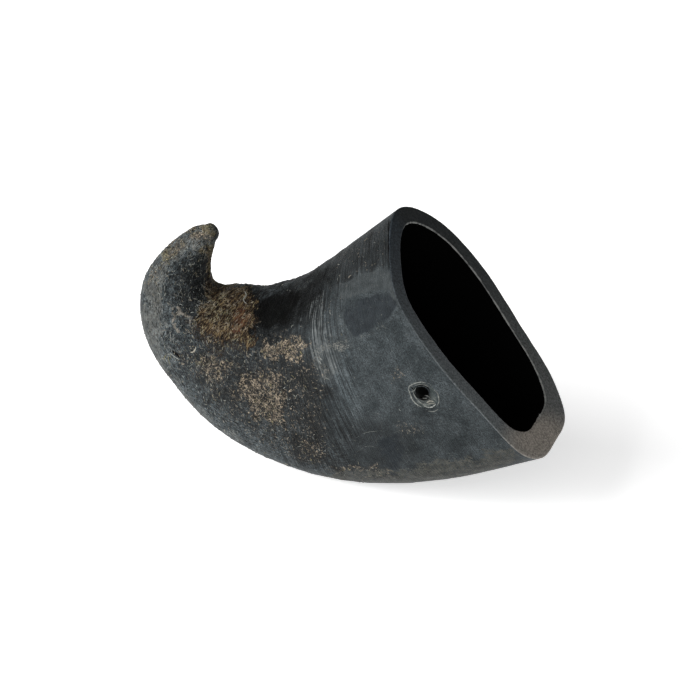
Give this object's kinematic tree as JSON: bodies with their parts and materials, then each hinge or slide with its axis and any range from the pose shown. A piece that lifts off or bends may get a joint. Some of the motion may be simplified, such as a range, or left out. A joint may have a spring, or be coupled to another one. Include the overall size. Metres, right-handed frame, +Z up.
{
  "type": "buffalo horn",
  "caption": "Short curled dark buffalo horn, sawn off square at the root with a deep open cavity, and drilled through the wall near the rim.",
  "frame": {"origin": "on the resting plane, under the middle of the bounding box", "axes": "+Z up with the horn lying on its belly, +X from the tip side to the mouth side, -Y to the broad face with the drilled hole"},
  "size_m": [0.1512, 0.0882, 0.0975],
  "materials": {
    "horn_keratin": "dark bluish charcoal horn keratin, scraped and satin, with growth ridges, tan weathered patches and a browner, rougher hollow behind the tip"
  },
  "bodies": {
    "root": {"horn": "horn_keratin"}
  },
  "joints": []
}
